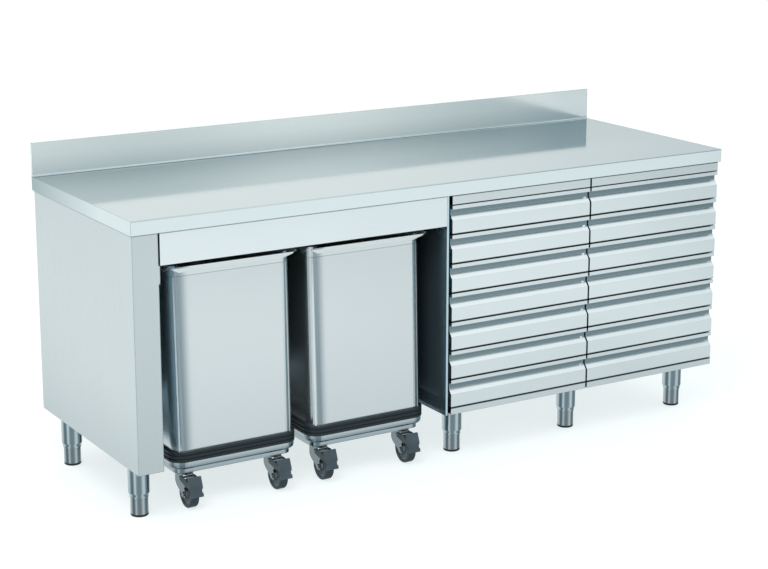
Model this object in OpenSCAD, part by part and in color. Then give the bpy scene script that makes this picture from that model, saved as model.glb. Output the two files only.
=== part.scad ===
// Stainless steel pastry counter: a worktop with an upstand, two bins that roll out
// from a bay on the left and two columns of drawers on the right, on round legs.
// The origin is on the floor below the middle of the worktop.
// X runs to the right, Y to the back and Z up, all in millimetres.

/* [Worktop] */
// Width of the worktop
width = 2000; // [1900:10:2300]
// Depth of the worktop
depth = 700; // [660:10:800]
// Height of the working surface above the floor
work_h = 850; // [820:5:900]
// Height of the folded edge round the worktop
edge_h = 40; // [35:1:50]
// Width of the return folded under the edge
edge_return = 25; // [16:1:35]
// Thickness of the worktop sheet
top_sheet = 1.5; // [1:0.1:2.5]
// Radius of the worktop's front fold
edge_r = 3; // [2:0.5:5]
// Height of the upstand above the working surface
upstand_h = 100; // [60:5:150]
// Thickness of the folded upstand
upstand_t = 10; // [8:1:16]
// Radius of the cove between worktop and upstand
cove_r = 6; // [3:0.5:10]
// Number of stiffening channels under the worktop
stiffener_count = 5; // [3:1:7]
// Width of a stiffening channel
stiffener_w = 80; // [50:5:120]
// Height of a stiffening channel
stiffener_h = 26; // [15:1:28]

/* [Carcass] */
// Overhang of the worktop past each end of the carcass
side_overhang = 5; // [2:1:15]
// Overhang of the worktop past the front of the carcass
front_overhang = 8; // [4:1:20]
// Overhang of the worktop past the back of the carcass
rear_overhang = 5; // [2:1:15]
// Thickness of the carcass sheet
sheet = 1.5; // [1:0.1:2]
// Width of the post face at the front of the left end panel
post_w = 75; // [68:1:100]
// Width of the tab that stands out of the post under the header
post_tab_w = 4; // [2:0.5:4.5]
// Height of that tab
post_tab_h = 50; // [30:5:80]
// Width of the lip folded along the top of the left end panel
end_lip = 20; // [12:1:28]
// Height of the header over the bins
header_h = 90; // [60:5:120]
// Depth of the header's folds
header_fold = 30; // [15:1:40]
// Gap between the post and the header
header_gap = 5; // [2:0.5:8]
// Width of the divider's front edge
divider_edge = 7; // [4:0.5:10]
// Gap between the divider's edge and the first drawer column
divider_gap = 12; // [6:1:20]
// Height of the rail over the drawers
top_rail_h = 30; // [20:1:40]
// Height of the rail under the drawers
bottom_rail_h = 20; // [15:1:30]
// Depth of the rails' tongues between the side panels
rail_tongue = 30; // [20:1:60]
// Depth of the hems that stiffen the side panels' front edges
side_hem = 12; // [8:1:20]

/* [Drawers] */
// Width of a drawer column
column_w = 493; // [440:1:500]
// Gap between the two columns
column_gap = 6; // [4:0.5:10]
// Gap between two drawer fronts
front_gap = 4; // [2:0.5:5]
// Depth of a drawer front, from its face to its back
front_t = 20; // [17:0.5:26]
// Thickness of the drawer front sheet
front_sheet = 1.2; // [1:0.1:1.5]
// Height of the lip along the top of a front
lip_h = 11; // [8:0.5:13]
// Height of the upright back of the finger groove
groove_h = 17; // [15:0.5:20]
// Height of the slope under the finger groove
slope_h = 15; // [10:0.5:18]
// Depth of the finger groove
groove_d = 13; // [9:0.5:14]
// Height of a drawer box
box_h = 60; // [50:1:68]
// Rise of a drawer box above the bottom of its slot
box_rise = 12; // [8:1:14]
// Thickness of the drawer box sheet
box_sheet = 1.2; // [1:0.1:1.5]
// Free space behind a drawer box
box_rear_gap = 62; // [50:1:90]
// Width of the rolled rim along a drawer box's top edge
box_rim = 6; // [4:0.5:8]

/* [Runners] */
// Room at each side of a drawer box for its runner
runner_room = 13; // [12:0.5:16]
// Height of a fixed runner channel
runner_h = 40; // [34:1:46]
// Depth of a fixed runner channel
runner_d = 10; // [8:0.5:11]
// Thickness of the runner steel
runner_sheet = 1.5; // [1.2:0.1:2]
// Running clearance between drawer rail and channel
run_gap = 0.3; // [0.2:0.05:0.5]

/* [Bins] */
// Gap between the left end of the bay and the first bin
bin_gap_left = 54; // [30:1:62]
// Gap between the two bins
bin_gap_mid = 36; // [28:1:45]
// Gap between the second bin and the divider
bin_gap_right = 30; // [26:1:50]
// Set-back of the bins behind the front of the carcass
bin_setback = 54; // [40:1:80]
// Gap between the bins and the back of the bay
bin_rear_gap = 56; // [40:1:90]
// Gap between the bins' rims and the header
rim_gap = 28; // [20:1:50]
// Thickness of a bin's sheet
bin_sheet = 1.5; // [1:0.1:2.5]
// Radius of a bin's upright corners at its bottom
bin_r = 35; // [30:1:50]
// How far a bin's front leans back from bottom to rim
bin_lean = 18; // [0:1:24]
// Width of the flared rim
flare_out = 18; // [14:1:20]
// Height of the flared rim
flare_h = 16; // [12:1:30]
// Height of the upright hem on the rim
hem_h = 4; // [3:0.5:8]
// Radius of a bin's upright corners at the rim
rim_r = 30; // [24:1:40]
// Width of the rubber bumper round the foot of a bin
bumper_t = 8; // [5:0.5:12]
// Height of one rib of the bumper
rib_h = 7; // [5:0.5:9]
// Height of one groove between the ribs
rib_gap = 4; // [2:0.5:5]
// Depth of the grooves between the ribs
rib_depth = 3; // [1:0.5:4]
// Height of the pressed base under a bin
base_h = 22; // [18:1:30]
// Height of the frame under the base
frame_h = 14; // [10:1:20]
// Inset of the frame from the edge of the base
frame_inset = 16; // [12:1:24]
// Width of the frame's bars
frame_bar = 60; // [50:1:70]

/* [Castors] */
// Height of a castor from the floor to the frame
castor_h = 105; // [102:1:115]
// Radius of a wheel
wheel_r = 40; // [36:0.5:41]
// Width of the tyre
wheel_w = 25; // [20:1:28]
// Distance of the swivel axis from the sides of the bin
castor_inset = 57; // [52:1:75]
// Offset of the wheel from its swivel axis
castor_trail = 28; // [20:1:32]
// Radius of the axle
axle_r = 5; // [4:0.5:6]
// Radial clearance of the axle and of the kingpin
pin_gap = 0.05; // [0.03:0.01:0.08]
// Radius of the kingpin
king_r = 6; // [5:0.5:7]
// Thickness of the fork's steel
fork_t = 2.5; // [2:0.1:3]
// Space between the fork's legs
fork_gap = 30; // [29.5:0.5:34]
// Thickness of the brake pedal
pedal_t = 4; // [3:0.5:5]
// Gap between the tyre and the released brake pedal
pedal_gap = 8; // [7:0.5:9]

/* [Legs] */
// Height of the legs below the carcass
leg_h = 150; // [130:5:180]
// Radius of the upper sleeve
sleeve_r = 30; // [27:0.5:33]
// Thickness of the sleeve
sleeve_t = 4; // [3:0.5:5]
// Height of the sleeve's lower end above the floor
sleeve_bottom = 54; // [45:1:70]
// Radius of the adjustable foot
foot_r = 25; // [22:0.5:25.5]
// Height of the foot's rubber pad
pad_h = 7; // [4:0.5:10]
// Set-back of the legs from the front and back of the worktop
leg_setback = 110; // [80:5:140]
// Distance of the end panel's legs from its outer face
leg_in_end = 44; // [38:1:48]
// Distance of the drawer unit's outer legs from its ends
leg_in_unit = 70; // [50:5:120]

/* [Hidden] */
$fn = 64;
eps = 0.01;
columns = 2;
rows = 7;
bins = 2;
rib_count = 3;
column_names = ["a", "b"];
side_names = ["left", "right"];

// Planes of the carcass
top_under = work_h - edge_h;
x_left = -width / 2 + side_overhang;
x_right = width / 2 - side_overhang;
y_front = -depth / 2 + front_overhang;
y_back = depth / 2 - rear_overhang;

// Drawer unit, from its right end back to the divider
unit_left = x_right - columns * column_w - (columns - 1) * column_gap;
divider_x = unit_left - divider_gap - divider_edge;
slots_bottom = leg_h + bottom_rail_h;
slots_top = top_under - top_rail_h;
slot_h = (slots_top - slots_bottom) / rows;
front_h = slot_h - front_gap;
y_front_back = y_front + front_t;
y_side = y_front_back + box_sheet + run_gap;
box_w = column_w - 2 * sheet - 2 * runner_room;
box_back = y_back - sheet - box_rear_gap;
rail_h = runner_h - 2 * runner_sheet - 2 * run_gap;
rail_d = runner_room - runner_sheet - run_gap;

// Bay between the post and the divider
bay_left = x_left + post_w;
bay_right = divider_x;
bay_back = y_back - 2 * sheet;
header_bottom = top_under - header_h;

// Bins
bin_w = (bay_right - bay_left - bin_gap_left - bin_gap_mid - bin_gap_right) / bins;
bin_front = y_front + bin_setback;
bin_back = bay_back - bin_rear_gap;
bin_d = bin_back - bin_front;
bin_y = (bin_front + bin_back) / 2;
body_w = bin_w - 2 * bumper_t;
body_d = bin_d - 2 * bumper_t;
rim_top = header_bottom - rim_gap;
frame_bottom = castor_h;
base_bottom = frame_bottom + frame_h;
body_bottom = base_bottom + base_h;
flare_bottom = rim_top - hem_h - flare_h;
bumper_r = bin_r + bumper_t;
bumper_h = rib_count * rib_h + (rib_count - 1) * rib_gap;

// Castors: plate, race, crown, nuts and hinge of the brake
plate_w = 72;
plate_d = 62;
plate_t = 3;
race_t = 5;
race_r = 23;
king_gap = 0.3;
king_end = 0.5;
crown_t = 4;
crown_r = 25;
nut_r = 8;
nut_t = 4;
hub_r = axle_r + 6;
tread_r = 3;
tyre_t = 9;
plate_bottom = castor_h - plate_t;
race_bottom = plate_bottom - race_t;
crown_top = race_bottom - king_gap;
hub_w = fork_gap - 0.6;
fork_w = fork_gap + 2 * fork_t;
brake_y = -12;
brake_z = crown_top - 14;
brake_r = 3;
ear_gap = 0.3;
ear_t = 2.2;
ear_r = 6.5;
pedal_half = fork_w / 2 + ear_gap + ear_t;
notch_h = 12;
notch_d = 3;

// Base of a bin
base_gap = 2;
base_sheet = 2;
base_steps = [[8, 0], [3.5, 0.12], [1, 0.28]];

// Legs
leg_y = depth / 2 - leg_setback;
leg_xs = [
    x_left + leg_in_end,
    unit_left + leg_in_unit,
    unit_left + column_w + column_gap / 2,
    x_right - leg_in_unit
];

function column_x(c) = unit_left + c * (column_w + column_gap);
function slot_z(r) = slots_top - (r + 1) * slot_h;
function bin_x(b) = bay_left + bin_gap_left + bin_w / 2 + b * (bin_w + bin_gap_mid);
function swivel_x(b, s) = bin_x(b) + (s == 0 ? -1 : 1) * (bin_w / 2 - castor_inset);
function swivel_y() = bin_front + castor_inset;
function rear_y() = bin_back - castor_inset;
function drawer_node(kind, c, r) = str("drawer_", kind, "_", column_names[c], r + 1);
function castor_node(kind, b, s) = str(kind, "_", b + 1, "_", side_names[s]);
function bin_node(kind, b) = str(kind, "_", b + 1);

// A box from its lowest to its highest corner
module block(low, high) {
    translate(low) cube(high - low);
}

// A profile drawn in Y and Z, extruded along X
module along_x(x0, x1) {
    translate([x0, 0, 0]) rotate([90, 0, 90]) linear_extrude(x1 - x0) children();
}

// A rectangle with round corners, centred
module round_rect(w, d, r) {
    square([w - 2 * r, d], center = true);
    square([w, d - 2 * r], center = true);
    for (x = [-1, 1], y = [-1, 1]) translate([x * (w / 2 - r), y * (d / 2 - r)]) circle(r);
}

// The four corner discs of a rounded slab, for a hull to join
module corner_discs(w, d, r, z, h, front = 0) {
    for (x = [-1, 1])
        for (y = [-d / 2 + r + front, d / 2 - r])
            translate([x * (w / 2 - r), y, z]) cylinder(h = h, r = r, $fn = 32);
}

// Worktop: folded sheet with its upstand, returns and stiffening channels
module top_outline(inset) {
    y0 = -depth / 2 + inset;
    y1 = depth / 2 - inset;
    z1 = work_h - inset;
    z2 = work_h + upstand_h - inset;
    r = max(edge_r - inset, 0.5);
    difference() {
        translate([y0, top_under - eps]) square([y1 - y0, z1 - top_under + eps]);
        translate([y0, z1 - r]) difference() {
            translate([-eps, 0]) square([r + eps, r + eps]);
            translate([r, 0]) circle(r);
        }
    }
    translate([depth / 2 - upstand_t + inset, z1 - eps])
        square([upstand_t - 2 * inset, z2 - z1 + eps]);
}

module cove() {
    y0 = depth / 2 - upstand_t;
    difference() {
        translate([y0 - cove_r, work_h - eps]) square([cove_r + eps, cove_r + eps]);
        translate([y0 - cove_r, work_h + cove_r]) circle(cove_r);
    }
}

module worktop() {
    color("#cfd6d8") {
        difference() {
            union() {
                along_x(-width / 2, width / 2) intersection() {
                    top_outline(0);
                    translate([-depth, top_under]) square([2 * depth, edge_h + upstand_h]);
                }
                along_x(-width / 2, width / 2) cove();
            }
            along_x(-width / 2 + top_sheet, width / 2 - top_sheet) difference() {
                top_outline(top_sheet);
                translate([-depth, top_under - 1]) square([2 * depth, top_sheet + 1]);
            }
            block([-width / 2 + edge_return, -depth / 2 + edge_return, top_under - 1],
                  [width / 2 - edge_return, depth / 2 - edge_return, top_under + top_sheet + 1]);
        }
        for (i = [1:stiffener_count])
            translate([-width / 2 + i * width / (stiffener_count + 1), 0, 0]) stiffener();
    }
}

module stiffener() {
    z1 = work_h - top_sheet;
    y1 = depth / 2 - upstand_t;
    w = stiffener_w / 2;
    difference() {
        block([-w, -depth / 2 + top_sheet, z1 - stiffener_h], [w, y1, z1]);
        block([-w + sheet, -depth, z1 - stiffener_h + sheet], [w - sheet, depth, z1 + 1]);
    }
}

// Left end panel: a folded sheet with post faces at front and back
module left_end_panel() {
    color("#c8d0d2") difference() {
        union() {
            block([x_left, y_front, leg_h], [bay_left, y_back, top_under]);
            block([bay_left - sheet, y_front, header_bottom - post_tab_h],
                  [bay_left + post_tab_w, y_front + sheet, header_bottom]);
        }
        block([x_left + sheet, y_front + sheet, leg_h + sheet],
              [bay_left + 1, y_back - sheet, top_under - sheet]);
        block([x_left + end_lip, y_front + end_lip, top_under - 2 * sheet],
              [bay_left + 1, y_back - end_lip, top_under + 1]);
    }
}

// Header: a folded fascia over the bins
module header() {
    x0 = bay_left + header_gap;
    color("#d6dcde") {
        along_x(x0, divider_x) difference() {
            translate([y_front, header_bottom]) square([header_fold, header_h]);
            translate([y_front + sheet, header_bottom + sheet])
                square([header_fold, header_h - 2 * sheet]);
        }
        block([bay_left, y_front + header_fold - sheet, header_bottom],
              [x0 + sheet, y_front + header_fold, top_under]);
    }
}

// Bay liner: the bay's left skin, back and divider in one bent sheet
module bay_liner() {
    color("#aeb8bb") difference() {
        union() {
            block([bay_left - sheet, y_front + sheet, leg_h + sheet],
                  [bay_left, bay_back + sheet, top_under - sheet]);
            block([bay_left - sheet, bay_back, leg_h + sheet],
                  [unit_left, bay_back + sheet, top_under - sheet]);
            block([bay_right, y_front, leg_h], [bay_right + sheet, bay_back + sheet, top_under]);
            block([bay_right, y_front, leg_h],
                  [bay_right + divider_edge, y_front + sheet, top_under]);
            block([bay_right, y_front, leg_h], [unit_left, bay_back + sheet, leg_h + sheet]);
            block([bay_right, y_front, top_under - sheet],
                  [unit_left, bay_back + sheet, top_under]);
        }
        block([bay_right + divider_edge, y_front - 1, leg_h - 1],
              [unit_left + 1, y_side, top_under + 1]);
    }
}

// Welded carcass of the drawer unit: two open boxes with their front rails
module column_shell(c) {
    x0 = column_x(c);
    x1 = x0 + column_w;
    difference() {
        block([x0, y_side, leg_h], [x1, y_back, top_under]);
        block([x0 + sheet, y_side - 1, leg_h + sheet],
              [x1 - sheet, y_back - sheet, top_under + 1]);
    }
    for (x = [x0, x1 - 2 * sheet])
        block([x, y_side, leg_h], [x + 2 * sheet, y_side + side_hem, top_under]);
}

module rail(c, z0, z1) {
    x0 = column_x(c);
    x1 = x0 + column_w;
    difference() {
        block([x0, y_front, z0], [x1, y_side, z1]);
        block([x0 - 1, y_front + sheet, z0 + sheet], [x1 + 1, y_side + 1, z1 - sheet]);
    }
    block([x0 + sheet, y_side - sheet, z1 - sheet], [x1 - sheet, y_side + rail_tongue, z1]);
}

module drawer_carcass() {
    color("#c3cccf") for (c = [0:columns - 1]) {
        column_shell(c);
        rail(c, slots_top, top_under);
        rail(c, leg_h, slots_bottom);
    }
}

// Fixed runner channels, one pair for each drawer
module channel() {
    y0 = y_side + side_hem;
    difference() {
        block([0, y0, -runner_h / 2], [runner_d, box_back, runner_h / 2]);
        block([runner_sheet, y0 - 1, -runner_h / 2 + runner_sheet],
              [runner_d + 1, box_back + 1, runner_h / 2 - runner_sheet]);
    }
}

module drawer_runners() {
    color("#9aa5a8") for (c = [0:columns - 1], r = [0:rows - 1]) {
        z = slot_z(r) + box_rise + box_h / 2;
        translate([column_x(c) + sheet, 0, z]) channel();
        translate([column_x(c) + column_w - sheet, 0, z]) mirror([1, 0, 0]) channel();
    }
}

// Drawer front: a folded sheet with a lip, a finger groove and a slope under it
function slope_turn() = tan(atan2(groove_d, slope_h) / 2);

module front_outline(t) {
    z1 = front_h - t;
    z2 = front_h - lip_h + t;
    z3 = front_h - lip_h - groove_h - t * slope_turn();
    z4 = front_h - lip_h - groove_h - slope_h - t * slope_turn();
    y0 = t;
    y1 = groove_d + t;
    y2 = front_t + (t > 0 ? 1 : 0);
    polygon([[y2, z1], [y0, z1], [y0, z2], [y1, z2], [y1, z3], [y0, z4], [y0, t], [y2, t]]);
}

module drawer_front(c, r) {
    x0 = column_x(c);
    x1 = x0 + column_w;
    color("#dde3e5") translate([0, y_front, slot_z(r) + front_gap / 2]) difference() {
        along_x(x0, x1) front_outline(0);
        along_x(x0 + front_sheet, x1 - front_sheet) front_outline(front_sheet);
    }
}

// Drawer box: an open tray on a backing plate, with a rail on each side
module drawer_rail() {
    y1 = box_back;
    difference() {
        block([0, y_front_back + box_sheet, -rail_h / 2], [rail_d, y1, rail_h / 2]);
        block([-1, 0, -rail_h / 2 + runner_sheet] + [0, y_front_back, 0],
              [rail_d - runner_sheet, y1 + 1, rail_h / 2 - runner_sheet]);
    }
}

module drawer_box(c, r) {
    xm = column_x(c) + column_w / 2;
    z0 = slot_z(r) + front_gap / 2;
    zb = slot_z(r) + box_rise;
    w = box_w / 2;
    color("#b9c2c5") translate([xm, 0, 0]) {
        block([-column_w / 2, y_front_back, z0],
              [column_w / 2, y_front_back + box_sheet, z0 + front_h]);
        difference() {
            block([-w, y_front_back, zb], [w, box_back, zb + box_h]);
            block([-w + box_sheet, y_front_back + box_sheet, zb + box_sheet],
                  [w - box_sheet, box_back - box_sheet, zb + box_h + 1]);
        }
        for (m = [0, 1]) mirror([m, 0, 0]) {
            block([w - box_rim, y_front_back, zb + box_h - box_sheet], [w, box_back, zb + box_h]);
            translate([w + rail_d, 0, zb + box_h / 2]) mirror([1, 0, 0]) drawer_rail();
        }
    }
}

// Solid form of a bin, from its bottom to z1, with t taken off all round
module bin_form(t, z0, z1) {
    hull() {
        corner_discs(body_w - 2 * t, body_d - 2 * t, bin_r - t, z0, eps);
        corner_discs(body_w - 2 * t, body_d - 2 * t, rim_r - t, z1, eps, bin_lean);
    }
}

// Flared panel along one side of a rim: half its length at the fold, its fold at y = 0, out to -y
module flare(half) {
    t = bin_sheet;
    translate([0, 0, flare_bottom]) intersection() {
        along_x(-half - rim_r, half + rim_r)
            polygon([[t, -eps], [0, -eps], [-flare_out, flare_h], [-flare_out, flare_h + hem_h],
                     [t - flare_out, flare_h + hem_h], [t - flare_out, flare_h], [t, 0]]);
        linear_extrude(4 * (flare_h + hem_h), center = true)
            polygon([[-half, t + 1], [-half, 0], [-half - rim_r, -flare_out - 1],
                     [half + rim_r, -flare_out - 1], [half, 0], [half, t + 1]]);
    }
}

// Bin body: a deep pan with upright round corners, a leaning front and flared panels between
module bin_body(b) {
    t = bin_sheet;
    half_x = body_w / 2 - rim_r;
    side_front = -body_d / 2 + rim_r + bin_lean;
    side_back = body_d / 2 - rim_r;
    lean = bin_lean * (flare_bottom - body_bottom) / (rim_top - body_bottom);
    color("#dfe5e7") translate([bin_x(b), bin_y, 0]) {
        difference() {
            bin_form(0, body_bottom, rim_top - eps);
            bin_form(t, body_bottom + t, rim_top + 1);
            block([-half_x, -body_d, flare_bottom], [half_x, body_d, rim_top + 2]);
            block([-body_w, side_front, flare_bottom], [body_w, side_back, rim_top + 2]);
        }
        for (m = [0, 1]) mirror([m, 0, 0]) translate([-body_w / 2, (side_front + side_back) / 2, 0])
            rotate([0, 0, -90]) flare((side_back - side_front) / 2);
        translate([0, lean - body_d / 2, 0]) flare(half_x);
        translate([0, body_d / 2, 0]) rotate([0, 0, 180]) flare(half_x);
    }
}

// Bumper: a ribbed rubber band round the foot of a bin
module bin_bumper(b) {
    color("#23282b") translate([bin_x(b), bin_y, body_bottom]) difference() {
        union() {
            for (i = [0:rib_count - 1])
                translate([0, 0, i * (rib_h + rib_gap)])
                    linear_extrude(rib_h) round_rect(bin_w, bin_d, bumper_r);
            linear_extrude(bumper_h)
                round_rect(bin_w - 2 * rib_depth, bin_d - 2 * rib_depth, bumper_r - rib_depth);
        }
        translate([0, 0, -1]) linear_extrude(bumper_h + 2)
            round_rect(body_w + 2 * run_gap, body_d + 2 * run_gap, bin_r + run_gap);
    }
}

// Base: a pressed pan with a rounded lower edge on a frame with castor plates
module base_form(t, z0, z1) {
    inset = base_gap + t;
    w = bin_w - 2 * inset;
    d = bin_d - 2 * inset;
    r = bumper_r - inset;
    hull() {
        for (s = base_steps)
            corner_discs(w - 2 * s[0], d - 2 * s[0], r - s[0], z0 + base_h * s[1], eps);
        corner_discs(w, d, r, z0 + base_h / 2, z1 - z0 - base_h / 2);
    }
}

module bin_base(b) {
    fw = bin_w - 2 * frame_inset;
    fd = bin_d - 2 * frame_inset;
    color("#c5ced1") translate([bin_x(b), bin_y, 0]) {
        difference() {
            base_form(0, base_bottom, body_bottom);
            base_form(base_sheet, base_bottom + base_sheet, body_bottom - base_sheet);
            translate([0, 0, base_bottom - 1]) linear_extrude(2 * base_sheet)
                square([fw - 2 * frame_bar, fd - 2 * frame_bar], center = true);
        }
        translate([0, 0, frame_bottom]) linear_extrude(frame_h) difference() {
            round_rect(fw, fd, bin_r - frame_inset / 2);
            square([fw - 2 * frame_bar, fd - 2 * frame_bar], center = true);
        }
        for (s = [0:1]) translate([swivel_x(b, s) - bin_x(b), swivel_y() - bin_y, 0])
            swivel_plate();
    }
}

// Fixed half of a swivel: a plate with a pressed race and the kingpin's hole
module swivel_plate() {
    difference() {
        union() {
            translate([0, 0, plate_bottom]) linear_extrude(plate_t) round_rect(plate_w, plate_d, 6);
            translate([0, 0, race_bottom]) cylinder(h = race_t + eps, r1 = race_r - 3, r2 = race_r);
        }
        translate([0, 0, race_bottom - 1]) cylinder(h = plate_t + race_t + 2, r = king_r + pin_gap);
    }
}

// Outline of a fork leg in Y and Z: wide under the crown, drawn in to the axle
module leg_outline(trail, top) {
    polygon([[-20, top], [22, top], [25, top - 6], [25, top - 28], [16, top - 39],
             [9 - trail, wheel_r - 6], [-trail - 9, wheel_r - 6], [-trail - 10, wheel_r + 6],
             [-trail - 4, wheel_r + 18], [-trail - 12, wheel_r + 27], [-24, top - 5]]);
    translate([-trail, wheel_r]) circle(11);
}

// Two legs, the axle between them and its nuts
module fork_legs(trail, top) {
    for (x = [-fork_w / 2, fork_gap / 2])
        along_x(x, x + fork_t) leg_outline(trail, top);
    translate([-fork_w / 2 - nut_t, -trail, wheel_r]) rotate([0, 90, 0]) {
        cylinder(h = fork_w + 2 * nut_t, r = axle_r);
        for (z = [0, fork_w + nut_t]) translate([0, 0, z]) cylinder(h = nut_t, r = nut_r, $fn = 6);
    }
}

// Swivelling fork with its crown, kingpin and the brake's hinge pin
module castor_fork(b, s) {
    color("#98a1a4") translate([swivel_x(b, s), swivel_y(), 0]) {
        fork_legs(castor_trail, crown_top - crown_t + eps);
        translate([0, 0, crown_top - crown_t]) intersection() {
            cylinder(h = crown_t, r = crown_r);
            block([-fork_w / 2, -crown_r, -1], [fork_w / 2, crown_r, crown_t + 1]);
        }
        translate([0, 0, crown_top - crown_t])
            cylinder(h = castor_h - king_end - crown_top + crown_t, r = king_r);
        translate([-pedal_half - 1, brake_y, brake_z]) rotate([0, 90, 0])
            cylinder(h = 2 * pedal_half + 2, r = brake_r);
    }
}

// Brake pedal: a plate before the wheel, between two cheeks that reach back to the hinge
module castor_brake(b, s) {
    r0 = wheel_r + pedal_gap;
    wheel = [-castor_trail, wheel_r];
    face = [for (p = [[-0.98, 0.08], [-0.94, 0.34], [-0.82, 0.70], [-0.66, 1.18]]) wheel + r0 * p];
    out = [[-pedal_t - 1.5, -1], [-pedal_t, 0], [-pedal_t - 2, 1], [-pedal_t, 0.5]];
    color("#4a5256") translate([swivel_x(b, s), swivel_y(), 0]) {
        difference() {
            along_x(-pedal_half, pedal_half)
                polygon(concat(face, [for (i = [3:-1:0]) face[i] + out[i]]));
            for (x = [-1, 1]) translate([x * pedal_half, face[1][0], face[1][1] + 2])
                cube([2 * notch_d, r0, notch_h], center = true);
        }
        for (m = [0, 1]) mirror([m, 0, 0]) along_x(pedal_half - ear_t, pedal_half) difference() {
            union() {
                translate([brake_y, brake_z]) circle(ear_r);
                polygon([[brake_y, brake_z + ear_r], wheel + r0 * [-0.16, 1.04], face[2] + [-1, 6],
                         face[2] + [-3, -4], wheel + r0 * [-0.42, 0.56], [brake_y, brake_z - ear_r]]);
            }
            translate([brake_y, brake_z]) circle(brake_r + pin_gap);
        }
    }
}

// Fixed brackets of the two rear castors
module rear_brackets(b) {
    color("#98a1a4") for (s = [0:1]) translate([swivel_x(b, s), rear_y(), 0]) {
        translate([0, 0, plate_bottom]) linear_extrude(plate_t) round_rect(plate_w, plate_d, 6);
        fork_legs(0, plate_bottom + eps);
    }
}

// Wheel: a crowned tyre on a ribbed hub with the axle's bore
module wheel() {
    color("#3a4043") rotate([0, 90, 0]) difference() {
        union() {
            rotate_extrude($fn = 96) {
                translate([wheel_r - tyre_t, -wheel_w / 2]) square([tyre_t - tread_r, wheel_w]);
                translate([wheel_r - tread_r - eps, -wheel_w / 2 + tread_r])
                    square([tread_r + eps, wheel_w - 2 * tread_r]);
                for (y = [-1, 1]) translate([wheel_r - tread_r, y * (wheel_w / 2 - tread_r)])
                    circle(tread_r);
            }
            translate([0, 0, -wheel_w * 0.3]) cylinder(h = wheel_w * 0.6, r = wheel_r - tyre_t + 1);
            translate([0, 0, -hub_w / 2]) cylinder(h = hub_w, r = hub_r);
        }
        translate([0, 0, -hub_w]) cylinder(h = 2 * hub_w, r = axle_r + pin_gap);
    }
}

module front_wheel(b, s) {
    translate([swivel_x(b, s), swivel_y() - castor_trail, wheel_r]) wheel();
}

module rear_wheel(b, s) {
    translate([swivel_x(b, s), rear_y(), wheel_r]) wheel();
}

// Legs: a fixed sleeve with a chamfered end and a foot that slides up into it
module at_legs() {
    for (x = leg_xs, y = [-1, 1]) translate([x, y * leg_y, 0]) children();
}

module leg_sleeves() {
    color("#8f9a9d") at_legs() rotate_extrude() difference() {
        polygon([[0, leg_h], [sleeve_r, leg_h], [sleeve_r, sleeve_bottom + 13],
                 [sleeve_r - 3, sleeve_bottom + 5], [sleeve_r - 3, sleeve_bottom], [0, sleeve_bottom]]);
        translate([0, sleeve_bottom - 1]) square([foot_r + run_gap, leg_h - 4 - sleeve_bottom]);
    }
}

module leg_feet() {
    color("#8f9a9d") at_legs() rotate_extrude() difference() {
        union() {
            translate([0, pad_h]) square([foot_r, leg_h - sleeve_t - pad_h - run_gap - 1]);
            square([foot_r - 1.5, pad_h]);
            translate([foot_r - 2.5, 2.5]) circle(2.5);
            translate([0, 2.5]) square([foot_r, pad_h - 2.5]);
        }
        translate([0, pad_h + 3]) square([foot_r - 3, leg_h]);
    }
}

worktop();
left_end_panel();
header();
bay_liner();
drawer_carcass();
drawer_runners();
leg_sleeves();
leg_feet();
for (c = [0:columns - 1], r = [0:rows - 1]) {
    drawer_front(c, r);
    drawer_box(c, r);
}
for (b = [0:bins - 1]) {
    bin_body(b);
    bin_bumper(b);
    bin_base(b);
    rear_brackets(b);
}
for (b = [0:bins - 1], s = [0:1]) {
    castor_fork(b, s);
    castor_brake(b, s);
    front_wheel(b, s);
    rear_wheel(b, s);
}
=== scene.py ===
"""Looks of a stainless steel pastry counter with drawers and roll-out bins."""
import math

import bmesh
import bpy
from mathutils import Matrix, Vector


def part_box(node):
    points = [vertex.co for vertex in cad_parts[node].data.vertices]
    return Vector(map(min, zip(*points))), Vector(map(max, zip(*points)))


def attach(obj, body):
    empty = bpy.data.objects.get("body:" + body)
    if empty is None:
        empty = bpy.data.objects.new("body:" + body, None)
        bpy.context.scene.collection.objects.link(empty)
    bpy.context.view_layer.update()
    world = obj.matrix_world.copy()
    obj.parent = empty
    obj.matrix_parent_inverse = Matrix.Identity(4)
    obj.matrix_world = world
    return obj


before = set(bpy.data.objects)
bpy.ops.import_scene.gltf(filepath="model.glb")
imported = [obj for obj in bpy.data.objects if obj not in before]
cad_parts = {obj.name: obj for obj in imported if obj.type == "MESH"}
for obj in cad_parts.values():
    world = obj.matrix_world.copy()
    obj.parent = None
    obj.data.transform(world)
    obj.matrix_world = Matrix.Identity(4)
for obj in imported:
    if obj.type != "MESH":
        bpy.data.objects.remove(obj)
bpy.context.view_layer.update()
scene = bpy.context.scene

# Names of the pieces that repeat

COLUMNS = ("a", "b")
ROWS = range(1, 8)
DRAWERS = [f"{column}{row}" for column in COLUMNS for row in ROWS]
BINS = ("1", "2")
CASTORS = [f"{number}_{side}" for number in BINS for side in ("left", "right")]

# Sizes in metres, from the frame or as in the part's source


def middle(node):
    """Centre of a CAD node's box."""
    low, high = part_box(node)
    return tuple((low + high) / 2)


def near(place, low, high):
    """Two limits, as offsets from a place."""
    return place + low, place + high


X, Y, Z = range(3)
top_low, top_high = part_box("worktop")
carcass_low, carcass_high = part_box("drawer_carcass")
bin_low, bin_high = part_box("bin_body_1")

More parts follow.
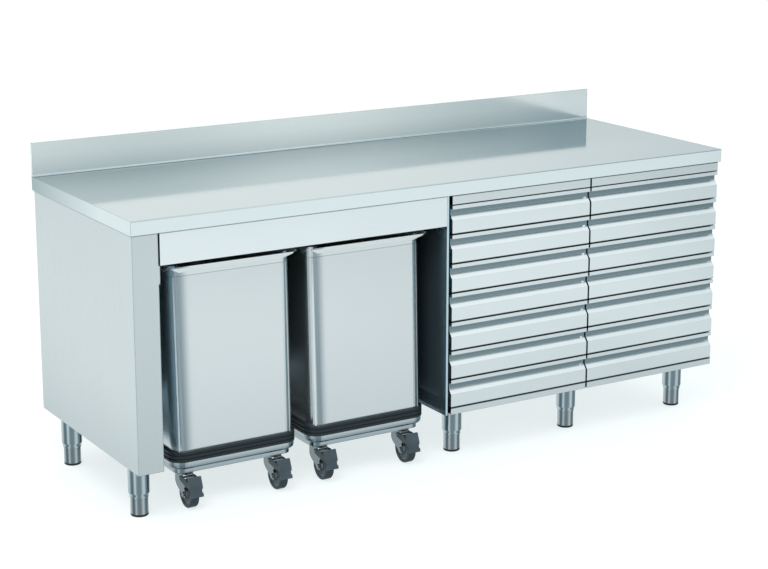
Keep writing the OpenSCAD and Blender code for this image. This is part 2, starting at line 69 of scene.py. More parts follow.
HALF_LENGTH, HALF_DEPTH = top_high[X], top_high[Y]
TOP_Z = top_low[Z]
TOP_EDGE = 0.040
WORK_H = TOP_Z + TOP_EDGE
CARCASS_X, FRONT_Y, CARCASS_Z = carcass_low
RIM_TOP = bin_high[Z]
RIM_W = 0.018
BIN_HALF = (bin_high[X] - bin_low[X]) / 2 - RIM_W
BASE_TOP = bin_low[Z]
WHEEL_R = 0.040

# the first leg stands under the end panel, the others under the drawers' ends and middle
LEG_R = 0.030
LEG_Y = 0.240
END_INSET = 0.049
LEG_INSET = 0.070
LEG_X = (END_INSET - HALF_LENGTH, CARCASS_X + LEG_INSET, middle("drawer_carcass")[X],
         carcass_high[X] - LEG_INSET)


# Node trees


class Graph:
    """A node tree, with short names for the nodes that are used here."""

    def __init__(self, owner):
        owner.use_nodes = True
        self.nodes = owner.node_tree.nodes
        self.links = owner.node_tree.links

    def node(self, kind, **props):
        made = self.nodes.new(kind)
        for key, value in props.items():
            setattr(made, key, value)
        return made

    def put(self, socket, value):
        """Set a socket to a number or a colour, or link it to another node's output."""
        if isinstance(value, tuple):
            socket.default_value = (*value, 1.0)
        elif isinstance(value, (int, float)):
            socket.default_value = value
        else:
            self.links.new(value, socket)

    def ramp(self, value, reach, start=0.0, end=1.0, smooth=False):
        """Goes from start to end while the value goes through its reach, and is level outside it."""
        m = self.node("ShaderNodeMapRange", interpolation_type="SMOOTHSTEP" if smooth else "LINEAR")
        limits = {"From Min": reach[0], "From Max": reach[1], "To Min": start, "To Max": end}
        for key, limit in limits.items():
            self.put(m.inputs[key], limit)
        self.put(m.inputs["Value"], value)
        return m.outputs["Result"]

    def math(self, operation, *values, clamp=False):
        m = self.node("ShaderNodeMath", operation=operation, use_clamp=clamp)
        for socket, value in zip(m.inputs, values):
            self.put(socket, value)
        return m.outputs[0]

    def both(self, a, b):
        """Product of two masks or numbers."""
        return self.math("MULTIPLY", a, b)

    def band(self, value, reach, soft):
        """1 while the value is within its reach, with soft ends."""
        low, high = reach
        return self.both(self.ramp(value, (low - soft, low)), self.ramp(value, (high, high + soft), 1.0, 0.0))

    def mix(self, factor, a, b):
        """Colour a where the factor is 0, colour b where it is 1."""
        m = self.node("ShaderNodeMix", data_type="RGBA")
        for index, value in ((0, factor), (6, a), (7, b)):
            self.put(m.inputs[index], value)
        return m.outputs[2]

    def blend(self, factor, a, b):
        """Shader a where the factor is 0, shader b where it is 1."""
        m = self.node("ShaderNodeMixShader")
        for socket, value in zip(m.inputs, (factor, a, b)):
            self.put(socket, value)
        return m.outputs[0]

    def part(self, vector, index):
        """One coordinate of a vector."""
        s = self.node("ShaderNodeSeparateXYZ")
        self.put(s.inputs[0], vector)
        return s.outputs[index]


class Paint(Graph):
    """A material, painted by object coordinates."""

    def __init__(self, name):
        self.material = bpy.data.materials.new(name)
        super().__init__(self.material)
        self.shader = self.nodes["Principled BSDF"]
        self.out = self.nodes["Material Output"]
        self.coords = self.node("ShaderNodeTexCoord")

    def place(self, stretch=(1, 1, 1), offset=(0, 0, 0)):
        """Object coordinates, stretched and shifted."""
        m = self.node("ShaderNodeMapping")
        m.inputs["Scale"].default_value = stretch
        m.inputs["Location"].default_value = offset
        self.put(m.inputs["Vector"], self.coords.outputs["Object"])
        return m.outputs["Vector"]

    def axis(self, index):
        """One of the object's coordinates."""
        return self.part(self.coords.outputs["Object"], index)

    def facing(self, index):
        """One coordinate of the surface's own direction."""
        return self.part(self.coords.outputs["Normal"], index)

    def noise(self, scale, detail=2.0, stretch=(1, 1, 1), rough=0.5, offset=(0, 0, 0)):
        n = self.node("ShaderNodeTexNoise")
        for key, value in (("Scale", scale), ("Detail", detail), ("Roughness", rough)):
            self.put(n.inputs[key], value)
        self.put(n.inputs["Vector"], self.place(stretch, offset))
        return n.outputs["Fac"]

    def radius(self, centre, along):
        """Distance from the line that runs through centre along one of the axes."""
        flat = self.node("ShaderNodeVectorMath", operation="MULTIPLY")
        flat.inputs[1].default_value = tuple(0.0 if i == along else 1.0 for i in range(3))
        self.put(flat.inputs[0], self.place(offset=tuple(-v for v in centre)))
        length = self.node("ShaderNodeVectorMath", operation="LENGTH")
        self.put(length.inputs[0], flat.outputs[0])
        return length.outputs["Value"]

    def edge(self, radius, reach=(0.02, 0.25)):
        """1 on sharp edges and folds, 0 on flats; also the rounded normal."""
        b = self.node("ShaderNodeBevel", samples=4)
        self.put(b.inputs["Radius"], radius)
        d = self.node("ShaderNodeVectorMath", operation="DOT_PRODUCT")
        self.put(d.inputs[0], b.outputs[0])
        self.put(d.inputs[1], self.node("ShaderNodeNewGeometry").outputs["Normal"])
        turned = self.math("SUBTRACT", 1.0, d.outputs["Value"], clamp=True)
        return self.ramp(turned, reach), b.outputs[0]

    def bump(self, height, strength, distance, normal=None):
        b = self.node("ShaderNodeBump")
        for key, value in (("Strength", strength), ("Distance", distance), ("Height", height)):
            self.put(b.inputs[key], value)
        if normal is not None:
            self.put(b.inputs["Normal"], normal)
        return b.outputs["Normal"]

    def finish(self, colour, rough, normal=None, metal=0.0):
        for key, value in (("Base Color", colour), ("Roughness", rough), ("Metallic", metal)):
            self.put(self.shader.inputs[key], value)
        if normal is not None:
            self.put(self.shader.inputs["Normal"], normal)
        return self.material


# Colours

STEEL = (0.735, 0.790, 0.805)
# dark colour for painted shade in gaps, under lips and along folds
PAINTED_SHADE = (0.028, 0.060, 0.074)


def tone(strength, tint=(1, 1, 1)):
    """Steel, made darker or lighter and tinted."""
    return tuple(v * strength * k for v, k in zip(STEEL, tint))


def scaled(colour, factor, lift=0.0):
    return tuple(min(1.0, v * factor + lift) for v in colour)


# Brushed steel

GRAIN_RUN = 1.2
GRAIN_FINE = 560
GRAIN_WIDE = 220


def grain(along, across, run=GRAIN_RUN):
    """Noise stretch that makes streaks along one axis."""
    return tuple(run if axis == along else across for axis in "xyz")


def steel(name, colour, rough, along="x", wave=0.0, streak=0.5, wear_and_sheen=0.06, smudge=0.03,
          edge_r=0.0012, metal=1.0, extra=None, form=None):
    """Brushed stainless sheet: fine streaks along the grain, faint smudges, folds painted brighter as wear
    and as a painted highlight.

    extra paints over it and returns the colour and a mask of matt places. form bends the normal.
    """
    t = Paint(name)
    fine = t.noise(3.2, stretch=grain(along, GRAIN_FINE), rough=0.6)
    slow = t.noise(0.9, stretch=grain(along, GRAIN_WIDE * 0.35, GRAIN_RUN * 0.35), offset=(3.1, 1.7, 0.4))
    cloud = t.noise(2.0, detail=3.0, offset=(0.3, 5.0, 2.0))
    streaks = t.math("MULTIPLY_ADD", fine, 0.85, t.both(slow, 0.15))
    dark, light = scaled(colour, 1 - 0.03 * streak), scaled(colour, 1 + 0.02 * streak)
    base = t.mix(t.ramp(streaks, (0.32, 0.68)), dark, light)
    base = t.mix(t.ramp(cloud, (0.35, 0.75), end=smudge * 2.5), base, scaled(colour, 0.95))
    folds, rounded = t.edge(edge_r)
    # folds painted brighter: wear, and a painted highlight along the edges
    base = t.mix(t.math("MULTIPLY", folds, wear_and_sheen * 6, clamp=True), base, scaled(colour, 1.12, 0.03))
    r = t.ramp(streaks, (0.3, 0.7), rough * 0.93, rough * 1.08)
    r = t.math("ADD", r, t.ramp(cloud, (0.4, 0.8), end=smudge * 1.6))
    r = t.math("SUBTRACT", r, t.both(folds, rough * 0.3), clamp=True)
    if extra:
        base, matt = extra(t, base)
        if matt is not None:
            r = t.math("MULTIPLY_ADD", matt, 0.35, r)
            t.put(t.shader.inputs["Metallic"], t.math("MULTIPLY_ADD", matt, -0.6 * metal, metal))
    if form:
        rounded = form(t, rounded)
    normal = t.bump(streaks, 0.025 * streak, 0.0003, rounded)
    if wave:
        normal = t.bump(t.noise(1.6, detail=0.0, rough=0.4, offset=(7.0, 2.0, 1.0)), wave, 0.02, normal)
    return t.finish(base, r, normal, metal)


# Painted shade in the gaps where sheets meet, as heights

TOP_JOINT = near(TOP_Z, -0.0040, 0.0010)
CARCASS_JOINT = near(TOP_Z, -0.0042, 0.0010)
UPPER_RAIL_JOINT = near(TOP_Z, -0.0300, -0.0285)
LOWER_RAIL_JOINT = near(CARCASS_Z, 0.0180, 0.0200)


def gap_shade(*joints):
    """Painted shade: dark lines in the gaps where a sheet meets the next one, as (heights, strength)."""
    def extra(t, base):
        for heights, strength in joints:
            base = t.mix(t.both(t.band(t.axis(Z), heights, 0.0008), strength), base, PAINTED_SHADE)
        return base, None
    return extra


# Drawer fronts

FRONTS_Z = 0.172
FRONTS_H = 0.610
PITCH = FRONTS_H / len(ROWS)
GROOVE_Y = near(FRONT_Y, 0.0080, 0.0090)

# heights above a front's lower edge
UNDERSIDE = (0.001, 0.002)
LOWER_FOLD = (0.0010, 0.0026)
GROOVE = (0.0498, 0.0718)
LIP_SHADE = (0.0530, 0.0575)
SLOPE_SHADE = (0.055, 0.072)
LIP = (0.0721, 0.0730)
UPPER_FOLD = (0.080, 0.082)

GROOVE_SHADE_COLOUR = (0.155, 0.235, 0.262)
UPPER_FOLD_SHADE_COLOUR = (0.07, 0.135, 0.155)


def drawer_extra(t, base):
    """Painted shade in the gaps: the finger groove shaded under its lip, a dark underside and lower fold, a
    darker lip and upper fold.
    """
    rise = t.math("MODULO", t.math("SUBTRACT", t.axis(Z), FRONTS_Z), PITCH)
    # painted shade: the finger groove dark under its lip
    groove = t.both(t.band(rise, GROOVE, 0.0006), t.ramp(t.axis(Y), GROOVE_Y))
    shade = t.math("MINIMUM", t.ramp(rise, LIP_SHADE, 0.42, 0.92), t.ramp(rise, SLOPE_SHADE, 0.86, 0.97))
    base = t.mix(t.both(groove, shade), base, GROOVE_SHADE_COLOUR)
    # painted shade in the gaps: dark underside, darker upper fold, slightly darker lip, dark lower fold
    up = t.facing(Z)
    below = t.both(t.ramp(up, (-0.9, -0.6), 1.0, 0.0), t.ramp(rise, UNDERSIDE, 1.0, 0.0))
    base = t.mix(below, base, PAINTED_SHADE)
    above = t.both(t.ramp(up, (0.85, 0.95), end=0.85), t.ramp(rise, UPPER_FOLD))
    base = t.mix(above, base, UPPER_FOLD_SHADE_COLOUR)
    base = t.mix(t.ramp(rise, LIP, end=0.06), base, PAINTED_SHADE)
    return t.mix(t.ramp(rise, LOWER_FOLD, 0.90, 0.0), base, PAINTED_SHADE), None


# Bins

# distances from a bin's middle, to the side
CORNER_HIGHLIGHT = near(BIN_HALF, -0.0180, -0.0146)
CROWN = near(BIN_HALF, -0.076, -0.032)
CORNER = near(BIN_HALF, -0.032, 0.012)

# heights
CORNER_HIGHLIGHT_TOP = near(RIM_TOP, -0.0280, -0.0260)
RIM_LINE = near(RIM_TOP, -0.0308, -0.0290)
RIM = near(RIM_TOP, -0.0290, -0.0284)
FLARE = near(RIM_TOP, -0.0240, -0.0200)

# how far a wall that looks at the bin's middle lies from it, as a negative number
INSIDE = (-0.02, -0.06)

CROWN_DEPTH = 0.0040
# colours of the painted highlight down the corners and of the rim band painted lighter
CORNER_HIGHLIGHT_COLOUR = (0.96, 1.0, 1.0)
RIM_LIT_COLOUR = (0.80, 0.855, 0.865)
INSIDE_COLOUR = (0.60, 0.675, 0.70)


def bin_extra(centre):
    """A painted highlight down the corners, a rim band painted lighter over a painted shadow line, and a matt
    inside.
    """
    def from_middle(t, index):
        return t.math("SUBTRACT", t.axis(index), centre[index])

    def extra(t, base):
        z = t.axis(Z)
        across = t.math("ABSOLUTE", from_middle(t, X))
        # painted highlight down the corners, a little matt
        corner_highlight = t.both(t.band(across, CORNER_HIGHLIGHT, 0.0003), t.ramp(z, CORNER_HIGHLIGHT_TOP, 1.0, 0.0))
        base = t.mix(t.both(corner_highlight, 0.95), base, CORNER_HIGHLIGHT_COLOUR)
        # painted light: the rim band lighter; painted shade: a thin dark line under it
        rim = t.both(t.ramp(t.facing(Z), (0.3, 0.5), 1.0, 0.0), t.ramp(z, RIM))
        base = t.mix(rim, base, RIM_LIT_COLOUR)
        base = t.mix(t.both(t.band(z, RIM_LINE, 0.0004), 0.35), base, PAINTED_SHADE)
        outward = t.math("ADD", *(t.both(from_middle(t, i), t.facing(i)) for i in (X, Y)))
        inside = t.ramp(outward, INSIDE)
        base = t.mix(inside, base, INSIDE_COLOUR)
        return base, t.math("MAXIMUM", corner_highlight, inside)
    return extra


def bin_form(centre):
    """A front that is a little crowned towards its left, and a flare that looks outwards."""
    def form(t, normal):
        left = t.math("SUBTRACT", centre[X], t.axis(X))
        crown = t.math("ADD", t.math("POWER", t.ramp(left, CROWN), 3.0), t.ramp(left, CORNER, end=3.0))
        crowned = t.bump(t.both(crown, -CROWN_DEPTH), 1.0, 1.0, normal)
        level = t.node("ShaderNodeVectorMath", operation="MULTIPLY")
        level.inputs[1].default_value = (1.0, 1.0, 0.12)
        t.put(level.inputs[0], normal)
        unit = t.node("ShaderNodeVectorMath", operation="NORMALIZE")
        t.put(unit.inputs[0], level.outputs[0])
        flare = t.both(t.ramp(t.facing(Z), (-0.5, -0.7)), t.ramp(t.axis(Z), FLARE))
        chosen = t.node("ShaderNodeMix", data_type="VECTOR")
        for index, value in ((0, flare), (4, crowned), (5, unit.outputs[0])):
            t.put(chosen.inputs[index], value)
        return chosen.outputs[1]
    return form


# Bins' bases, with their zones as heights

PAN = near(BASE_TOP, -0.0222, -0.0218)
PAN_FOLD = near(BASE_TOP, -0.020, -0.004)
BASE_FRAME = near(BASE_TOP, -0.036, -0.023)
PAN_FOLD_SHADE_COLOUR = (0.16, 0.23, 0.26)
BASE_FRAME_COLOUR = (0.30, 0.38, 0.42)


def base_extra(t, base):
    """Pressed pan with painted shade into its rounded lower edge, over a frame that is darker towards the
    bottom.
    """
    z = t.axis(Z)
    pan = t.ramp(z, PAN)
    # painted shade: the pan darker into its rounded lower fold
    base = t.mix(t.both(pan, t.ramp(z, PAN_FOLD, 0.85, 0.0)), base, PAN_FOLD_SHADE_COLOUR)
    below = t.both(t.math("SUBTRACT", 1.0, pan), t.ramp(z, BASE_FRAME, 0.55, 0.25))
    return t.mix(below, base, BASE_FRAME_COLOUR), None


# Bay liner

LINER_BACK_Y = near(HALF_DEPTH, -0.05, -0.04)
DIVIDER_X = near(CARCASS_X, -0.083, -0.053)
DIVIDER_SHADE_COLOUR = (0.05, 0.09, 0.11)


def liner_extra(t, base):
    """Painted shade on the divider's face; the outside of the liner's back is plain brushed sheet."""
    back = t.both(t.ramp(t.facing(Y), (0.4, 0.6)), t.ramp(t.axis(Y), LINER_BACK_Y))
    # painted shade on the divider's face between the bins
    divider = t.both(t.ramp(t.facing(X), (-0.6, -0.4), 1.0, 0.0), t.ramp(t.axis(X), DIVIDER_X, end=0.78))
    base = t.mix(divider, base, DIVIDER_SHADE_COLOUR)
    return t.mix(back, base, tone(1.04)), t.both(back, 0.4)


# Worktop and upstand

UPSTAND = near(WORK_H, 0.001, 0.006)
# painted shade at the upstand's right end and into its crease
UPSTAND_END_X = near(HALF_LENGTH, -0.30, -0.10)
CREASE = near(WORK_H, 0.002, 0.060)
BACK_SHADE_X = near(HALF_LENGTH, -0.45, -0.08)
BACK_SHADE_Y = near(HALF_DEPTH, -0.50, 0.0)

# painted highlight on the left part of the fold between worktop and upstand; the other folds of the worktop
# get painted shade
FOLD_HIGHLIGHT_X = (-0.50, -0.10)
FOLD_HIGHLIGHT_END_X = near(-HALF_LENGTH, 0.004, 0.010)
FOLD_HIGHLIGHT_Y = near(HALF_DEPTH, -0.020, -0.015)
FOLD_HIGHLIGHT_Z = near(WORK_H, 0.008, 0.012)

UPSTAND_COLOUR = (0.965, 0.995, 0.975)
UPSTAND_END_SHADE_COLOUR = (0.38, 0.54, 0.61)
CREASE_SHADE_COLOUR = (0.30, 0.42, 0.47)
BACK_SHADE_COLOUR = (0.05, 0.14, 0.18)
FOLD_SHADE = (0.22, 0.29, 0.33)
FOLD_HIGHLIGHT = (0.95, 0.99, 1.0)


def worktop_material(name, colour):
    """Polished top, painted darker towards the back as a reflection of the upstand, with a lighter front
    edge; a softer upstand with painted shade into its fold and at its right end; painted highlight and shade
    on the folds.
    """
    t = Paint(name)
    x, y, z = (t.axis(i) for i in (X, Y, Z))
    fine = t.noise(3.2, detail=3.0, stretch=grain("x", GRAIN_WIDE), rough=0.65)
    cloud = t.noise(2.2, detail=4.0, rough=0.55, offset=(0.3, 5.0, 2.0))
    upstand = t.ramp(z, UPSTAND)
    base = t.mix(t.ramp(fine, (0.3, 0.7)), scaled(colour, 0.985), colour)
    base = t.mix(t.ramp(cloud, (0.4, 0.75), end=0.12), base, scaled(colour, 0.95))
    # painted light: faces that don't look up, such as the front edge, made lighter than the top
    base = t.mix(t.ramp(t.facing(Z), (0.5, 0.8), 1.0, 0.0), base, scaled(colour, 1.22))
    # painted reflection: the top darker towards the back where it mirrors the upstand, less at the right end
    back_shade = t.both(t.ramp(y, BACK_SHADE_Y, end=0.60), t.math("SUBTRACT", 1.0, upstand))
    base = t.mix(t.both(back_shade, t.ramp(x, BACK_SHADE_X, 1.0, 0.40)), base, BACK_SHADE_COLOUR)
    base = t.mix(upstand, base, UPSTAND_COLOUR)
    # painted shade: the upstand darker into its fold and at its right end
    base = t.mix(t.both(t.ramp(z, CREASE, 0.22, 0.0), upstand), base, CREASE_SHADE_COLOUR)
    base = t.mix(t.both(t.ramp(x, UPSTAND_END_X, end=0.24), upstand), base, UPSTAND_END_SHADE_COLOUR)
    folds, rounded = t.edge(0.0018, (0.004, 0.06))
    # painted highlight on the left of the back fold, painted shade on the other folds
    fold_highlight = t.both(t.ramp(x, FOLD_HIGHLIGHT_X, 1.0, 0.0), t.ramp(x, FOLD_HIGHLIGHT_END_X))
    fold_highlight = t.both(fold_highlight, t.both(t.ramp(z, FOLD_HIGHLIGHT_Z, 1.0, 0.0), t.ramp(y, FOLD_HIGHLIGHT_Y)))
    base = t.mix(t.both(folds, 0.8), base, t.mix(fold_highlight, FOLD_SHADE, FOLD_HIGHLIGHT))
    r = t.math("MULTIPLY_ADD", upstand, 0.09, t.ramp(fine, (0.3, 0.7), 0.05, 0.075))
    r = t.math("ADD", r, t.ramp(cloud, (0.45, 0.8), end=0.015))
    metallic = t.math("MULTIPLY_ADD", upstand, -0.28, 1.0)
    return t.finish(base, r, t.bump(fine, 0.02, 0.0003, rounded), metallic)


# Rubber, wheels, feet and welds


def rubber(name, colour, rough, grit=900):
    """Moulded rubber or plastic: fine pitting, dusty patches and rubbed edges."""
    t = Paint(name)
    pits = t.noise(grit)
    dust = t.noise(22, detail=5.0, rough=0.6)
    base = t.mix(t.ramp(pits, (0.35, 0.7)), scaled(colour, 0.8), colour)
    base = t.mix(t.ramp(dust, (0.5, 0.8), end=0.25), base, scaled(colour, 2.2, 0.006))
    rubbed, rounded = t.edge(0.0008)
    base = t.mix(t.both(rubbed, 0.5), base, scaled(colour, 2.6, 0.008))
    r = t.ramp(dust, (0.3, 0.8), rough - 0.06, rough + 0.12)
    return t.finish(base, r, t.bump(pits, 0.12, 0.0003, rounded))


# a wheel's parts, as distances from its axle
HUB_EDGE = near(WHEEL_R, -0.0092, -0.0088)
HUB_RING = (0.0270, 0.0300)
HUB_GROOVE = (0.0125, 0.0160)
BUSH_EDGE = (0.0108, 0.0112)
RING_WAVES = 2400


def wheel_material(name, centre):
    """One wheel: dark tyre with a scuffed tread, grey hub with moulded rings, a lighter rim ring with a
    painted highlight and a groove painted dark as shade, steel bush.
    """
    t = Paint(name)
    d = t.radius(centre, X)
    grit = t.noise(700, detail=3.0)
    scuff = t.noise(60, detail=5.0, rough=0.6)
    tyre = t.mix(t.ramp(scuff, (0.4, 0.75), end=0.7), (0.042, 0.068, 0.083), (0.068, 0.103, 0.120))
    hub = t.mix(t.ramp(grit, (0.3, 0.7)), (0.10, 0.145, 0.165), (0.14, 0.190, 0.21))
    # a lighter ring at the hub's rim: its own grey, with a painted highlight
    hub = t.mix(t.band(d, HUB_RING, 0.0006), hub, (0.30, 0.345, 0.36))
    # painted shade: the hub's groove painted dark
    hub = t.mix(t.band(d, HUB_GROOVE, 0.0006), hub, (0.05, 0.065, 0.075))
    on_hub = t.ramp(d, HUB_EDGE, 1.0, 0.0)
    bush = t.ramp(d, BUSH_EDGE, 1.0, 0.0)
    base = t.mix(bush, t.mix(on_hub, tyre, hub), (0.55, 0.57, 0.58))
    rubbed, rounded = t.edge(0.0008)
    base = t.mix(t.both(rubbed, 0.35), base, (0.23, 0.29, 0.31))
    r = t.math("SUBTRACT", t.ramp(scuff, (0.3, 0.8), 0.45, 0.68), t.both(bush, 0.25), clamp=True)
    rings = t.math("SINE", t.both(d, RING_WAVES))
    height = t.math("MULTIPLY_ADD", t.both(rings, on_hub), 0.25, grit)
    return t.finish(base, r, t.bump(height, 0.15, 0.0004, rounded), t.both(bush, 0.9))


# the height of a foot's pad
PAD_TOP = (0.0068, 0.0071)


def foot_material(name):
    """Adjustable foot: a turned tube on a black pad."""
    t = Paint(name)
    pad = t.ramp(t.axis(Z), PAD_TOP, 1.0, 0.0)
    turned = t.noise(4.0, stretch=(0.5, 0.5, 260), rough=0.6)
    tube = t.mix(t.ramp(turned, (0.3, 0.7)), (0.50, 0.55, 0.57), (0.545, 0.595, 0.615))
    black = t.mix(t.noise(900), (0.012, 0.013, 0.014), (0.035, 0.037, 0.04))
    rounded = t.edge(0.0008)[1]
    r = t.math("MULTIPLY_ADD", pad, 0.35, t.ramp(turned, (0.3, 0.7), 0.19, 0.23))
    metallic = t.math("SUBTRACT", 1.0, pad)
    return t.finish(t.mix(pad, tube, black), r, t.bump(turned, 0.04, 0.0003, rounded), metallic)


def weld_material(name):
    """Brushed-out weld: dull silver with patches of straw heat tint."""
    t = Paint(name)
    spots = t.noise(160, detail=3.0)
    tint = t.noise(26, offset=(0.4, 0.1, 0.0))
    base = t.mix(t.ramp(spots, (0.35, 0.7)), (0.34, 0.38, 0.40), (0.52, 0.56, 0.58))
    base = t.mix(t.ramp(tint, (0.5, 0.75), end=0.35), base, (0.42, 0.36, 0.27))
    r = t.ramp(spots, (0.3, 0.7), 0.32, 0.5)
    return t.finish(base, r, t.bump(spots, 0.2, 0.0004), 1.0)


# Dressing the CAD nodes


def dress(material, *nodes):
    """Give CAD nodes their material."""
    for node in nodes:
        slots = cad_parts[node].data.materials
        slots.clear()
        slots.append(material)


# Painted light: the one steel gets a tone per part, lighter on the header, carcass, drawer fronts and bins
# and darker on the end panel and legs, to match each part's brightness under the light
dress(worktop_material("worktop_steel", tone(0.86, (0.93, 0.975, 0.975))), "worktop")
dress(steel("panel_steel", tone(0.925, (0.975, 1, 1)), 0.25, "z", streak=0.10, wave=0.004,
            edge_r=0.003, extra=gap_shade((TOP_JOINT, 0.45))), "left_end_panel")
dress(steel("header_steel", tone(1.22), 0.25, "x", streak=0.2, extra=gap_shade((TOP_JOINT, 0.6))), "header")
dress(steel("liner_steel", tone(0.94, (0.80, 0.97, 1.06)), 0.14, "z", smudge=0.02, metal=0.80,
            extra=liner_extra), "bay_liner")
dress(steel("carcass_steel", tone(1.07), 0.25, "x",
            extra=gap_shade((CARCASS_JOINT, 0.85), (UPPER_RAIL_JOINT, 0.9), (LOWER_RAIL_JOINT, 0.9))),
      "drawer_carcass")
dress(steel("drawer_steel", tone(1.19), 0.24, "x", streak=0.3, wear_and_sheen=0.02, edge_r=0.0008,
            extra=drawer_extra), *(f"drawer_front_{d}" for d in DRAWERS))
dress(steel("box_steel", tone(0.86), 0.34, "y", smudge=0.05), *(f"drawer_box_{d}" for d in DRAWERS))
dress(steel("runner_steel", tone(0.78), 0.36, "y", smudge=0.06), "drawer_runners")
dress(steel("base_steel", tone(0.80, (0.95, 1, 1.03)), 0.2, "x", extra=base_extra),
      *(f"bin_base_{b}" for b in BINS))
dress(steel("leg_steel", tone(0.86, (0.93, 1.0, 1.02)), 0.15, "z", streak=0.6), "leg_sleeves")
dress(steel("castor_steel", tone(0.40, (0.90, 1, 1.05)), 0.24, "z", wear_and_sheen=0.15, smudge=0.07),
      *(f"rear_brackets_{b}" for b in BINS), *(f"castor_fork_{c}" for c in CASTORS))
dress(rubber("bumper_rubber", (0.016, 0.027, 0.034), 0.5), *(f"bin_bumper_{b}" for b in BINS))
dress(rubber("brake_plastic", (0.055, 0.085, 0.102), 0.45, 1200), *(f"castor_brake_{c}" for c in CASTORS))
dress(foot_material("foot_steel"), "leg_feet")
for b in BINS:
    bin_middle = middle(f"bin_body_{b}")
    dress(steel(f"bin_{b}_steel", tone(1.04), 0.20, "z", metal=0.97, form=bin_form(bin_middle),
                extra=bin_extra(bin_middle)), f"bin_body_{b}")
for c in CASTORS:
    for wheel in (f"front_wheel_{c}", f"rear_wheel_{c}"):
        dress(wheel_material(f"{wheel}_tyre", middle(wheel)), wheel)

# Weld beads round the tops of the legs

BEAD_R = 0.0020
BEAD_GAP = 0.0006
BEAD_DROP = 0.0019
BEAD_Z = CARCASS_Z - BEAD_DROP
BEAD_RIPPLES = 46
BEAD_AROUND = 96
BEAD_ACROSS = 10


def circle(steps):
    """Angles all the way round."""
    return [2 * math.pi * i / steps for i in range(steps)]


def weld_ring(name, centre, major, minor, ripples):
    """Rippled weld bead round a tube, closed on itself."""
    bm = bmesh.new()
    rings = []
    for a in circle(BEAD_AROUND):
        swell = minor * (1 + 0.14 * math.sin(a * ripples) + 0.06 * math.sin(a * 5 + 1.3))
        ring = []
        for b in circle(BEAD_ACROSS):
            r = major + swell * math.cos(b)
            ring.append(bm.verts.new((centre[0] + r * math.cos(a), centre[1] + r * math.sin(a),
                                      centre[2] + swell * 0.8 * math.sin(b))))
        rings.append(ring)
    for ring, after in zip(rings, rings[1:] + rings[:1]):
        for k in range(BEAD_ACROSS):
            m = (k + 1) % BEAD_ACROSS
            bm.faces.new((ring[k], after[k], after[m], ring[m]))
    bmesh.ops.recalc_face_normals(bm, faces=bm.faces)
    for face in bm.faces:
        face.smooth = True
    mesh = bpy.data.meshes.new(name)
    bm.to_mesh(mesh)
    bm.free()
    made = bpy.data.objects.new(name, mesh)
    scene.collection.objects.link(made)
    return made


weld = weld_material("weld_bead")
for number, x in enumerate(LEG_X, 1):
    for side, y in (("front", -LEG_Y), ("back", LEG_Y)):
        bead = weld_ring(f"leg_weld_{number}_{side}", (x, y, BEAD_Z), LEG_R + BEAD_GAP, BEAD_R, BEAD_RIPPLES)
        bead.data.materials.append(weld)
        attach(bead, "cabinet")

# Camera, at the photo's angle, with its turns down and to the right in degrees

CAMERA_AT = (-2.905, -4.742, 1.912)
CAMERA_DOWN = 13.13
CAMERA_RIGHT = 31.32
LENS = 88.2
SHIFT = -0.06

cam_data = bpy.data.cameras.new("camera")
cam = bpy.data.objects.new("camera", cam_data)
scene.collection.objects.link(cam)
scene.camera = cam
cam_data.sensor_width = 36.0
cam_data.lens = LENS
cam_data.shift_y = SHIFT
cam_data.clip_end = 60.0
cam.location = CAMERA_AT
cam.rotation_euler = (math.radians(90 - CAMERA_DOWN), 0.0, math.radians(-CAMERA_RIGHT))

# Floor

FLOOR_SIZE = 60.0
FLOOR_Z = -0.0005
FLOOR_GLOW = 0.715
FLOOR_GLOW_COLOUR = (0.935, 1.0, 1.0)
FLOOR_COLOUR = (0.34, 0.345, 0.35)
FLOOR_SHADE_COLOUR = (0.79, 0.81, 0.82)
FLOOR_SHADE_REACH = (0.45, 1.9)


def floor_material():
    """White to the camera, with the object's soft shadow.

    Mirror rays pass through it to the world below, and lose a little light near the counter.
    """
    t = Paint("floor_pale")
    path = t.node("ShaderNodeLightPath")
    seen = t.math("MAXIMUM", path.outputs["Is Camera Ray"], path.outputs["Is Transmission Ray"])
    t.put(t.shader.inputs["Emission Color"], FLOOR_GLOW_COLOUR)
    t.put(t.shader.inputs["Emission Strength"], t.both(seen, FLOOR_GLOW))
    t.finish(FLOOR_COLOUR, 0.9)
    clear = t.node("ShaderNodeBsdfTransparent")
    beside, before = (t.math("SUBTRACT", t.math("ABSOLUTE", t.axis(index)), half)
                      for index, half in ((X, HALF_LENGTH), (Y, HALF_DEPTH)))
    away = t.math("MAXIMUM", t.both(beside, 4.0), before)
    t.put(clear.inputs["Color"], t.mix(t.ramp(away, FLOOR_SHADE_REACH), FLOOR_SHADE_COLOUR, (1.0, 1.0, 1.0)))
    shader = t.blend(path.outputs["Is Glossy Ray"], t.shader.outputs[0], clear.outputs[0])
    t.put(t.out.inputs["Surface"], shader)
    return t.material


half_floor = FLOOR_SIZE / 2
floor_mesh = bpy.data.meshes.new("floor")
floor_mesh.from_pydata([(x * half_floor, y * half_floor, 0) for x, y in ((-1, -1), (1, -1), (1, 1), (-1, 1))],
                       [], [(0, 1, 2, 3)])
floor_mesh.materials.append(floor_material())
floor = bpy.data.objects.new("floor", floor_mesh)
scene.collection.objects.link(floor)
floor.location = (0, 0, FLOOR_Z)

# World, white to cameras and a pale studio with slate bands to mirrors

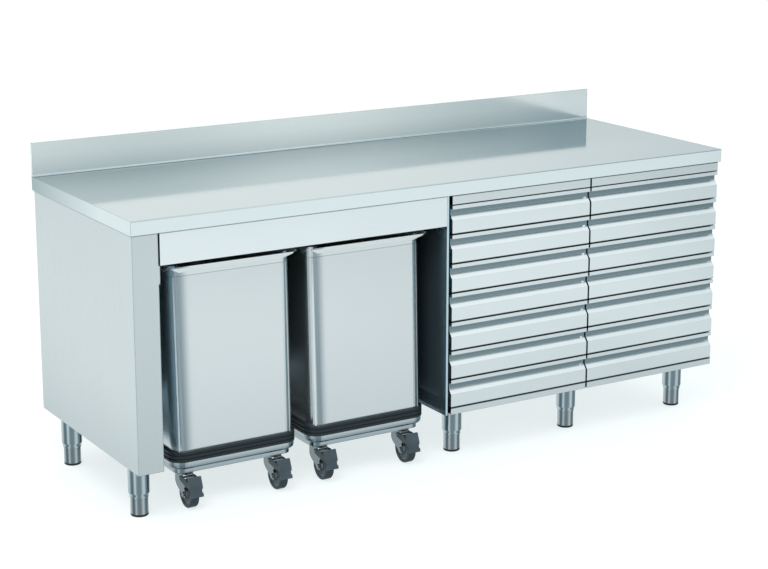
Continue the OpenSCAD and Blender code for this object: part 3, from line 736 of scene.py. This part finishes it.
# brightness by the compass, as degrees from the front (-Y), positive to the counter's left (-X)
SKY_WALLS = (
    (-158, 1.0), (-150, 0.97), (-146, 0.91), (-142, 0.79), (-138, 0.68), (-120, 0.6), (-90, 0.25),
    (-60, 0.05), (-42, 0.05), (-38, 0.07), (-36.5, 0.08), (-35.4, 0.14), (-33.9, 0.28), (-32.3, 0.50),
    (-30.7, 0.92), (-29, 1.0), (-27.2, 0.88), (-25.4, 0.46), (-23.5, 0.27), (-22, 0.52), (-20.5, 0.80),
)
FLOOR_BANDS = (
    (-140, 1.0), (-115, 0.75), (-98, 0.12), (-78, 0.08), (-58, 0.08), (-47, 0.40), (-41, 0.92),
    (-31, 1.0), (-20, 1.0), (-6, 0.45), (4, 0.18), (40, 0.17), (52, 0.5), (60, 1.0), (70, 1.0),
    (80, 0.25), (90, 0.0), (112, 0.02), (135, 0.8), (150, 1.0),
)
SKY_DARK, SKY_LIGHT = (0.13, 0.25, 0.31), (0.97, 1.0, 1.0)
FLOOR_DARK, FLOOR_LIGHT = (0.17, 0.25, 0.29), (0.965, 1.0, 1.0)
SOFT_LIGHT = (0.98, 1.0, 1.0)
SOFT_STRENGTH = 0.92

# changes with height, as the sine of the angle above the horizon
OVERHEAD = (0.45, 0.75)
HORIZON = (-0.10, 0.0)
FAR_FLOOR = (-0.170, -0.152)
NADIR = (-0.99, -0.82)

world = bpy.data.worlds.new("studio")
scene.world = world
studio = Graph(world)
path = studio.node("ShaderNodeLightPath")
direction = studio.node("ShaderNodeTexCoord").outputs["Generated"]
height = studio.part(direction, Z)
turn = studio.math("ARCTAN2", *(studio.both(studio.part(direction, i), -1.0) for i in (X, Y)))
turn = studio.math("MULTIPLY_ADD", turn, 0.5 / math.pi, 0.5)


def ring(stops):
    """Brightness round the compass, white at the back."""
    node = studio.node("ShaderNodeValToRGB")
    elements = node.color_ramp.elements
    for degrees, level in stops:
        elements.new(degrees / 360 + 0.5).color = (level, level, level, 1.0)
    for end in (0, len(elements) - 1):
        elements[end].color = (1, 1, 1, 1)
    studio.put(node.inputs["Fac"], turn)
    return node.outputs["Color"]


def background(colour, strength):
    node = studio.node("ShaderNodeBackground")
    studio.put(node.inputs["Color"], colour)
    studio.put(node.inputs["Strength"], strength)
    return node.outputs[0]


overhead = studio.ramp(height, OVERHEAD, smooth=True)
upper = studio.mix(studio.math("MAXIMUM", ring(SKY_WALLS), overhead), SKY_DARK, SKY_LIGHT)
fade = studio.both(studio.ramp(height, NADIR, 0.25, 1.0, smooth=True),
                   studio.ramp(height, FAR_FLOOR, 1.0, 0.45, smooth=True))
lower = studio.mix(studio.both(ring(FLOOR_BANDS), fade), FLOOR_DARK, FLOOR_LIGHT)
mirrored = studio.nodes["Background"]
studio.put(mirrored.inputs["Color"], studio.mix(studio.ramp(height, HORIZON, smooth=True), lower, upper))
soft = background(SOFT_LIGHT, SOFT_STRENGTH)
lit = studio.blend(path.outputs["Is Glossy Ray"], soft, mirrored.outputs[0])
seen = studio.math("MAXIMUM", path.outputs["Is Camera Ray"], path.outputs["Is Transmission Ray"])
shown = studio.blend(seen, lit, background((1.0, 1.0, 1.0), 1.0))
studio.put(studio.nodes["World Output"].inputs["Surface"], shown)

# Key lamp, above the front left

LAMP_AT = (-2.6, -2.6, 4.4)
LAMP_TARGET = (0, 0, 0.4)
LAMP_SIZE = 2.6
LAMP_WATTS = 110

lamp_data = bpy.data.lights.new("key", "AREA")
lamp_data.shape = "RECTANGLE"
lamp_data.size = lamp_data.size_y = LAMP_SIZE
lamp_data.energy = LAMP_WATTS
lamp_data.color = (0.94, 0.98, 1.0)
lamp = bpy.data.objects.new("key", lamp_data)
scene.collection.objects.link(lamp)
lamp.location = LAMP_AT
lamp.rotation_euler = (Vector(LAMP_TARGET) - Vector(LAMP_AT)).to_track_quat("-Z", "Y").to_euler()

scene.view_settings.view_transform = "Standard"
